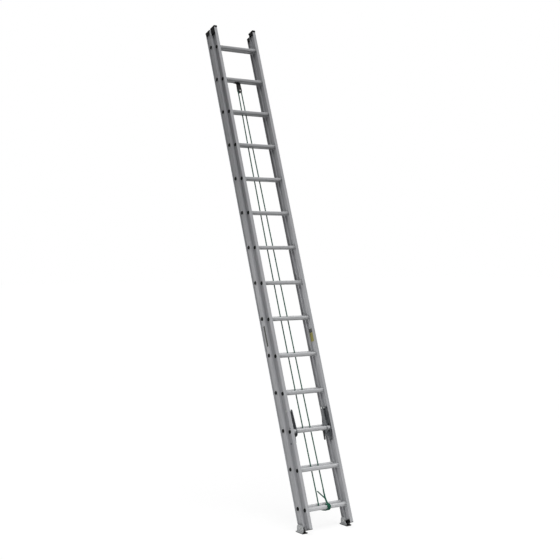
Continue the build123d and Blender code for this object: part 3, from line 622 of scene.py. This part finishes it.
# Haul rope: three-strand green polypropylene, from the knot on the fly's bottom rung up over the sheave
# and down again behind the same rung. The right run slants to the sheave and the left one bows out by about
# a centimetre. Both shorten as the fly rises; the stretch on the sheave stays.
ROPE = 0.0095
LAY = 0.033
STRANDS = 3
STRAND_VALLEY = 0.92
STRAND_CREST = 1.16
YARNS_PER_LAY = 9.0
YARNS_PER_STRAND = 6.0
STRAND_SPACING = 0.004
PROFILE_POINTS = 18
ROUTE_STEPS = 48
BELOW_SHEAVE = 0.022
ROPE_PLANE = -32.7
PULLEY = (-30.0, 3696.6)
ROPE_RING = 16.54
RUN_END = FLY_FIRST_RUNG + 110
RIGHT_END = (31.0, ROPE_PLANE - 3)
LEFT_END = (-41.5, ROPE_PLANE - 1.5)


def smooth_route(name, points):
    """A curve with one smooth spline steered by the points, and the line that it follows."""
    data = bpy.data.curves.new(name, "CURVE")
    data.dimensions = "3D"
    data.resolution_u = ROUTE_STEPS
    spline = data.splines.new("NURBS")
    spline.points.add(len(points) - 1)
    for control, point in zip(spline.points, points):
        control.co = (*point, 1.0)
    spline.order_u = 3
    spline.use_endpoint_u = True
    curve = add_object(name, data)
    line = bpy.data.meshes.new_from_object(curve)
    return curve, [vertex.co.copy() for vertex in line.vertices]


def along(line):
    """Length of a line up to each of its points."""
    reached = [0.0]
    for start, end in zip(line, line[1:]):
        reached.append(reached[-1] + (end - start).length)
    return reached


rope_fibre, tree, shader, _ = new_material("green_polypropylene_rope")
strand = add_node(tree, "ShaderNodeAttribute", {}, attribute_name="strand")
yarn = add_node(tree, "ShaderNodeAttribute", {}, attribute_name="yarn")
yarns = add_node(
    tree,
    "ShaderNodeTexNoise",
    {"Vector": yarn.outputs["Vector"], "Scale": 1.0, "Detail": 2.0, "Roughness": 0.5},
)
# The valleys between the strands are painted dark: painted shade where the strands meet; the fibre itself
# is one green.
groove_shade_share = add_node(
    tree, "ShaderNodeMapRange", {"Value": strand.outputs["Fac"], "From Min": 0.05, "From Max": 0.6}
)
green = add_node(
    tree,
    "ShaderNodeMix",
    {"Factor": yarns.outputs["Fac"], "A": linear("#0E3C2D"), "B": linear("#1C6650")},
    data_type="RGBA",
)
laid = add_node(
    tree,
    "ShaderNodeMix",
    {"Factor": groove_shade_share.outputs[0], "A": linear("#08231B"), "B": green.outputs["Result"]},
    data_type="RGBA",
)
relief = add_node(
    tree, "ShaderNodeBump", {"Height": yarns.outputs["Fac"], "Strength": 0.4, "Distance": 0.0004}
)
rope_finish = {
    "Base Color": laid.outputs["Result"],
    "Roughness": 0.55,
    "Normal": relief.outputs[0],
    "Specular IOR Level": 0.2,
}
feed(tree, shader, rope_finish)

rope_sizes = {
    "Diameter": "Float",
    "Lay length": "Float",
    "Spacing": "Float",
    "Start": "Float",
    "End": "Float",
    "Material": "Material",
}
laid_rope, given = new_geometry_tree("laid_rope", rope_sizes)
START_LENGTH, END_LENGTH = 4, 5  # the trim's inputs for lengths, named as those for shares are
trimmed = add_node(
    laid_rope,
    "GeometryNodeTrimCurve",
    {"Curve": given["Geometry"], START_LENGTH: given["Start"], END_LENGTH: given["End"]},
    mode="LENGTH",
)
stepped = add_node(
    laid_rope,
    "GeometryNodeResampleCurve",
    {"Curve": trimmed.outputs[0], "Length": given["Spacing"]},
    mode="LENGTH",
)
run = add_node(laid_rope, "GeometryNodeSplineParameter", {})
run_from_end = add_node(
    laid_rope, "ShaderNodeMath", {0: run.outputs["Length"], 1: given["Start"]}, operation="ADD"
)
lays = add_node(
    laid_rope, "ShaderNodeMath", {0: run_from_end.outputs[0], 1: given["Lay length"]}, operation="DIVIDE"
)
turn = add_node(laid_rope, "ShaderNodeMath", {0: lays.outputs[0], 1: 2 * math.pi}, operation="MULTIPLY")
twisted = add_node(
    laid_rope, "GeometryNodeSetCurveTilt", {"Curve": stepped.outputs[0], "Tilt": turn.outputs[0]}
)
yarn_run = add_node(
    laid_rope, "ShaderNodeMath", {0: lays.outputs[0], 1: YARNS_PER_LAY}, operation="MULTIPLY"
)
marked = add_node(
    laid_rope,
    "GeometryNodeStoreNamedAttribute",
    {"Geometry": twisted.outputs[0], "Name": "along", "Value": yarn_run.outputs[0]},
    data_type="FLOAT",
    domain="POINT",
)
radius = add_node(laid_rope, "ShaderNodeMath", {0: given["Diameter"], 1: 0.5}, operation="MULTIPLY")
circle = add_node(
    laid_rope,
    "GeometryNodeCurvePrimitiveCircle",
    {"Resolution": PROFILE_POINTS, "Radius": radius.outputs[0]},
)
around = add_node(laid_rope, "GeometryNodeSplineParameter", {})
lobe_turn = add_node(
    laid_rope, "ShaderNodeMath", {0: around.outputs["Factor"], 1: STRANDS * math.pi}, operation="MULTIPLY"
)
lobe_wave = add_node(laid_rope, "ShaderNodeMath", {0: lobe_turn.outputs[0]}, operation="SINE")
lobe = add_node(laid_rope, "ShaderNodeMath", {0: lobe_wave.outputs[0]}, operation="ABSOLUTE")
swell = add_node(
    laid_rope,
    "ShaderNodeMapRange",
    {"Value": lobe.outputs[0], "To Min": STRAND_VALLEY, "To Max": STRAND_CREST},
)
middle = add_node(laid_rope, "GeometryNodeInputPosition", {})
lobed = add_node(
    laid_rope,
    "ShaderNodeVectorMath",
    {0: middle.outputs[0], "Scale": swell.outputs[0]},
    operation="SCALE",
)
three_lobes = add_node(
    laid_rope, "GeometryNodeSetPosition", {"Geometry": circle.outputs[0], "Position": lobed.outputs[0]}
)
profile = add_node(
    laid_rope,
    "GeometryNodeStoreNamedAttribute",
    {"Geometry": three_lobes.outputs[0], "Name": "strand", "Value": lobe.outputs[0]},
    data_type="FLOAT",
    domain="POINT",
)
tube = add_node(
    laid_rope,
    "GeometryNodeCurveToMesh",
    {"Curve": marked.outputs[0], "Profile Curve": profile.outputs[0], "Fill Caps": True},
)
strand_read = add_node(laid_rope, "GeometryNodeInputNamedAttribute", {"Name": "strand"}, data_type="FLOAT")
along_read = add_node(laid_rope, "GeometryNodeInputNamedAttribute", {"Name": "along"}, data_type="FLOAT")
fan = add_node(
    laid_rope, "ShaderNodeMath", {0: strand_read.outputs[0], 1: YARNS_PER_STRAND}, operation="MULTIPLY"
)
yarn_place = add_node(laid_rope, "ShaderNodeCombineXYZ", {"X": fan.outputs[0], "Y": along_read.outputs[0]})
yarned = add_node(
    laid_rope,
    "GeometryNodeStoreNamedAttribute",
    {"Geometry": tube.outputs[0], "Name": "yarn", "Value": yarn_place.outputs[0]},
    data_type="FLOAT_VECTOR",
    domain="POINT",
)
rounded = add_node(laid_rope, "GeometryNodeSetShadeSmooth", {"Geometry": yarned.outputs[0]})
realized = add_node(laid_rope, "GeometryNodeRealizeInstances", {"Geometry": rounded.outputs[0]})
finished = add_node(
    laid_rope, "GeometryNodeSetMaterial", {"Geometry": realized.outputs[0], "Material": given["Material"]}
)
add_node(laid_rope, "NodeGroupOutput", {"Geometry": finished.outputs[0]})


def lay_rope(name, route, start, end):
    """Plain mesh of the laid rope along part of a route, from one length along it to another."""
    sizes = {
        "Diameter": ROPE,
        "Lay length": LAY,
        "Spacing": STRAND_SPACING,
        "Start": start,
        "End": end,
        "Material": rope_fibre,
    }
    return run_tree(laid_rope, name, route, sizes)


def round_sheave(angle):
    """Point of the rope on the sheave, by its angle up from the right."""
    turned = math.radians(angle)
    x = PULLEY[0] + ROPE_RING * math.cos(turned)
    return on_ladder(x, ROPE_PLANE, PULLEY[1] + ROPE_RING * math.sin(turned))


rope_route, rope_line = smooth_route(
    "rope_route",
    [
        on_ladder(*RIGHT_END, RUN_END),
        on_ladder(18.0, ROPE_PLANE, RUN_END + 680),
        on_ladder(5.0, ROPE_PLANE, RUN_END + 1700),
        on_ladder(-14.1, ROPE_PLANE, PULLEY[1] - 57),
        *(round_sheave(angle) for angle in (0, 45, 90, 135, 180)),
        on_ladder(-45.3, ROPE_PLANE, PULLEY[1] - 57),
        on_ladder(-51.0, ROPE_PLANE + 4, RUN_END + 2900),
        on_ladder(-54.5, ROPE_PLANE + 7, RUN_END + 2050),
        on_ladder(-52.7, ROPE_PLANE + 6, RUN_END + 1020),
        on_ladder(*LEFT_END, RUN_END),
    ],
)
rope_length = along(rope_line)
hang_point = pulley_centre - up_ladder * BELOW_SHEAVE
over = [index for index, point in enumerate(rope_line) if (point - hang_point).dot(up_ladder) > 0]
on_sheave = lay_rope("haul_rope_on_sheave", rope_route, rope_length[over[0]], rope_length[over[-1]])
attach(on_sheave, "base")
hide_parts("haul_rope")
runs = (
    ("haul_rope_right_run", rope_line[: over[0] + 1], 0.0, rope_length[over[0]]),
    ("haul_rope_left_run", rope_line[over[-1] :][::-1], rope_length[over[-1]], rope_length[-1]),
)
for name, line, start, end in runs:
    run_piece = lay_rope(name, rope_route, start, end)
    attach(run_piece, "base")
    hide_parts("haul_rope")
    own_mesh(run_piece)
bpy.data.objects.remove(rope_route)

# Knot: the same rope hitched round the fly's bottom rung, its run going on under the rung to the left.
# It is pulled tight, so the turns hug the tube and bed side by side. Two cut ends stand up out of it.
RUNG_SIDE = 17.0
RUNG_TOP = 15.0
RUNG_CORNER = 5.0
TURNS = 2.5
TURN_POINTS = 14
TURN_PITCH = 10.6
TURN_START = 30.0
TURN_LEAD = 20
BEDDED = 5.2
LEAST_LEVEL = 0.01


def round_rung(x, angle):
    """Point that steers a tight turn about the rung, by its angle forwards from the rung's level top."""
    turned = math.radians(angle)
    level = abs(math.sin(turned))
    height = math.cos(turned)
    reach = RUNG_SIDE
    if height > 0:
        corner = (RUNG_SIDE - RUNG_CORNER) * level + (RUNG_TOP - RUNG_CORNER) * height + RUNG_CORNER
        reach = min(RUNG_SIDE / max(level, LEAST_LEVEL), RUNG_TOP / height, corner)
    out = (reach + BEDDED) / math.cos(math.pi / TURN_POINTS)
    back = -out * math.sin(turned)
    rise = out * height
    lean_back = back * math.cos(LEAN) - rise * math.sin(LEAN)
    lean_rise = back * math.sin(LEAN) + rise * math.cos(LEAN)
    return on_ladder(x, FLY_PLANE + lean_back, FLY_FIRST_RUNG + lean_rise)


winding = [
    round_rung(TURN_START - TURN_PITCH * step / TURN_POINTS, 360 * step / TURN_POINTS - TURN_LEAD)
    for step in range(round(TURNS * TURN_POINTS) + 1)
]
knot_routes = (
    (
        "rope_knot_on_rung",
        "object",
        [
            on_ladder(*RIGHT_END, RUN_END),
            on_ladder(31.3, ROPE_PLANE - 4, RUN_END - 22),
            on_ladder(31.0, ROPE_PLANE - 10, RUN_END - 52),
            on_ladder(30.0, ROPE_PLANE - 22, RUN_END - 76),
            *winding,
            on_ladder(-4.0, FLY_PLANE + 14, FLY_FIRST_RUNG - 22),
            on_ladder(-26.0, FLY_PLANE + 27, FLY_FIRST_RUNG - 14),
            on_ladder(-42.0, ROPE_PLANE - 3, FLY_FIRST_RUNG - 4),
            on_ladder(-43.0, ROPE_PLANE - 2, FLY_FIRST_RUNG + 20),
            on_ladder(*LEFT_END, RUN_END),
        ],
    ),
    (
        "rope_knot_side_end",
        "bare",
        [
            on_ladder(31.5, ROPE_PLANE - 12, RUN_END - 52),
            on_ladder(10.0, ROPE_PLANE - 12, RUN_END - 28),
            on_ladder(-34.0, ROPE_PLANE - 10, RUN_END + 20),
        ],
    ),
    (
        "rope_knot_upper_end",
        "bare",
        [
            on_ladder(21.0, FLY_PLANE + 7, FLY_FIRST_RUNG + 30),
            on_ladder(20.5, ROPE_PLANE - 18, RUN_END - 48),
            on_ladder(20.0, ROPE_PLANE - 14, RUN_END - 8),
            on_ladder(22.0, ROPE_PLANE - 13, RUN_END + 30),
        ],
    ),
)
for name, far_end, steering in knot_routes:
    knot_route, knot_line = smooth_route("knot_route", steering)
    knot_length = along(knot_line)[-1]
    knot = lay_rope(name, knot_route, 0.0, knot_length)
    bpy.data.objects.remove(knot_route)
    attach(knot, "fly")
    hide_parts("rope_knot")

# Plain foils: thin bare vinyl stuck on the webs, a dark one outside the base's left rail and an olive one
# with a dark head inside the fly's right rail. The vinyl is satin, toned by handling, with a fine grain
# that is drawn coarser than it is.
FOIL_THICKNESS = 0.3
VINYL_GRAIN = 0.0015
HANDLED_PATCH = 0.03
DARK_VINYL = ("#292A27", "#373833")
OLIVE_VINYL = ("#85803A", "#9A9344")
BASE_WEB = -214.2
FLY_WEB = 194.8
foils = (
    ("base_dark_foil", "base", BASE_WEB, (-29.0, 6.0), (1437.0, 1606.0), DARK_VINYL),
    ("fly_olive_foil", "fly", FLY_WEB, (-79.0, -37.0), (1446.0, 1520.0), OLIVE_VINYL),
    ("fly_dark_foil", "fly", FLY_WEB, (-79.0, -37.0), (1520.5, 1554.0), DARK_VINYL),
)
for name, body, web, depths, heights, (deep, light) in foils:
    vinyl, tree, shader, place = new_material(f"{name}_vinyl")
    grain = add_node(
        tree,
        "ShaderNodeTexNoise",
        {"Vector": place, "Scale": 1 / VINYL_GRAIN, "Detail": 3.0, "Roughness": 0.6},
    )
    handled = add_node(
        tree, "ShaderNodeTexNoise", {"Vector": place, "Scale": 1 / HANDLED_PATCH, "Detail": 4.0}
    )
    toned = add_node(
        tree,
        "ShaderNodeMix",
        {"Factor": handled.outputs["Fac"], "A": linear(deep), "B": linear(light)},
        data_type="RGBA",
    )
    relief = add_node(
        tree, "ShaderNodeBump", {"Height": grain.outputs["Fac"], "Strength": 0.1, "Distance": 0.0002}
    )
    vinyl_finish = {
        "Base Color": toned.outputs["Result"],
        "Roughness": 0.45,
        "Normal": relief.outputs[0],
        "Specular IOR Level": 0.2,
    }
    feed(tree, shader, vinyl_finish)
    across = (web - FOIL_THICKNESS / 2, web + FOIL_THICKNESS / 2)
    foil = add_boxes(name, vinyl, [(across, depths, heights)], on_ladder)
    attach(foil, body)

# Floor: a white paper sheet under the ladder that fades to a grey floor, so that it lights the ladder from
# below near its feet alone. To the eye and in reflections it looks white all over, and it keeps a faint
# shadow of the ladder.
FLOOR_REACH = 60.0
SHEET_REACH = 0.6
SHEET_FADED = 2.2
PAPER_GLOW = 0.88
PURE_WHITE = (1.0, 1.0, 1.0, 1.0)


def seen_by_eye(tree):
    """One where the eye meets the surface, straight, mirrored or through glass, and else zero."""
    ray = add_node(tree, "ShaderNodeLightPath", {}).outputs
    straight_or_mirrored = add_node(
        tree, "ShaderNodeMath", {0: ray["Is Camera Ray"], 1: ray["Is Glossy Ray"]}, operation="MAXIMUM"
    )
    seen = add_node(
        tree,
        "ShaderNodeMath",
        {0: straight_or_mirrored.outputs[0], 1: ray["Is Transmission Ray"]},
        operation="MAXIMUM",
    )
    return seen.outputs[0]


floor_mesh = bpy.data.meshes.new("studio_floor")
shape = bmesh.new()
bmesh.ops.create_grid(shape, x_segments=1, y_segments=1, size=FLOOR_REACH)
shape.to_mesh(floor_mesh)
shape.free()
floor = add_object("studio_floor", floor_mesh)
paper, tree, shader, place = new_material("white_studio_paper")
seen = seen_by_eye(tree)
from_foot = add_node(tree, "ShaderNodeVectorMath", {0: place}, operation="LENGTH")
near_foot = add_node(
    tree,
    "ShaderNodeMapRange",
    {
        "Value": from_foot.outputs["Value"],
        "From Min": SHEET_REACH,
        "From Max": SHEET_FADED,
        "To Min": 1.0,
        "To Max": 0.0,
    },
)
bright_share = add_node(tree, "ShaderNodeMath", {0: seen, 1: near_foot.outputs[0]}, operation="MAXIMUM")
paper_tone = add_node(
    tree,
    "ShaderNodeMix",
    {"Factor": bright_share.outputs[0], "A": linear("#2C2C2C"), "B": linear("#F4F4F4")},
    data_type="RGBA",
)
paper_finish = {"Base Color": paper_tone.outputs["Result"], "Roughness": 0.9, "Specular IOR Level": 0.0}
feed(tree, shader, paper_finish)
glow_share = add_node(tree, "ShaderNodeMath", {0: seen, 1: PAPER_GLOW}, operation="MULTIPLY")
white = add_node(tree, "ShaderNodeEmission", {"Color": PURE_WHITE, "Strength": 1.0})
paper_mix = add_node(
    tree, "ShaderNodeMixShader", {0: glow_share.outputs[0], 1: shader.outputs[0], 2: white.outputs[0]}
)
tree.links.new(paper_mix.outputs[0], tree.nodes["Material Output"].inputs["Surface"])
floor_mesh.materials.append(paper)

# World and lamps: a plain white studio. A wide soft light comes from above and a little in front, a softbox
# stands behind on the left, and a soft spot in front on the left lights the outer webs.
WORLD_LIGHT = 0.14
SKY_TOWARDS = (-0.1, -0.35, 0.93)
SKY_STRENGTH = 3.4
SKY_SPREAD = math.radians(45)
SOFTBOX_SIZE = 1.6
SOFTBOX_WATTS = 32
SOFTBOX_PLACE = (-2.8, 4.3, 1.5)
SOFTBOX_AIM = (0.0, 0.75, 1.6)
SPOT_WATTS = 170
SPOT_CONE = math.radians(50)
SPOT_RADIUS = 0.4
SPOT_PLACE = (-3.5, -1.6, 0.9)
SPOT_AIM = (0.0, 0.4, 1.3)


def shine(lamp, direction):
    """Turns a lamp to shine along a direction."""
    lamp.rotation_euler = direction.to_track_quat("-Z", "Y").to_euler()


world = bpy.data.worlds.new("white_studio")
bpy.context.scene.world = world
world.use_nodes = True
tree = world.node_tree
level = add_node(
    tree, "ShaderNodeMapRange", {"Value": seen_by_eye(tree), "To Min": WORLD_LIGHT, "To Max": 1.0}
)
feed(tree, tree.nodes["Background"], {"Color": PURE_WHITE, "Strength": level.outputs[0]})

sky_light = bpy.data.lights.new("overhead_sky", "SUN")
sky_light.energy = SKY_STRENGTH
sky_light.angle = SKY_SPREAD
sky = add_object("overhead_sky", sky_light)
shine(sky, -Vector(SKY_TOWARDS))

glow = bpy.data.lights.new("left_rear_softbox", "AREA")
glow.shape = "SQUARE"
glow.size = SOFTBOX_SIZE
glow.energy = SOFTBOX_WATTS
softbox = add_object("left_rear_softbox", glow)
softbox.location = SOFTBOX_PLACE
shine(softbox, Vector(SOFTBOX_AIM) - softbox.location)

beam = bpy.data.lights.new("left_spot", "SPOT")
beam.energy = SPOT_WATTS
beam.spot_size = SPOT_CONE
beam.spot_blend = 1.0
beam.shadow_soft_size = SPOT_RADIUS
spot = add_object("left_spot", beam)
spot.location = SPOT_PLACE
spot.visible_camera = False
shine(spot, Vector(SPOT_AIM) - spot.location)

# Camera: a long lens in front of the ladder and to its left, at about half its height.
# It is all but level, dipping by a degree and a half.
CAMERA_PLACE = (-4.8677, -6.5963, 2.1579)
CAMERA_DIP = 1.549
CAMERA_HEADING = 34.026
LENS = 68.14
SENSOR = 36.0
FARTHEST = 200.0
camera_data = bpy.data.cameras.new("photo_camera")
camera_data.lens = LENS
camera_data.sensor_width = SENSOR
camera_data.clip_end = FARTHEST
camera = add_object("photo_camera", camera_data)
camera.location = CAMERA_PLACE
camera.rotation_euler = (math.radians(90 - CAMERA_DIP), 0.0, -math.radians(CAMERA_HEADING))
bpy.context.scene.camera = camera
bpy.context.scene.view_settings.view_transform = "Standard"
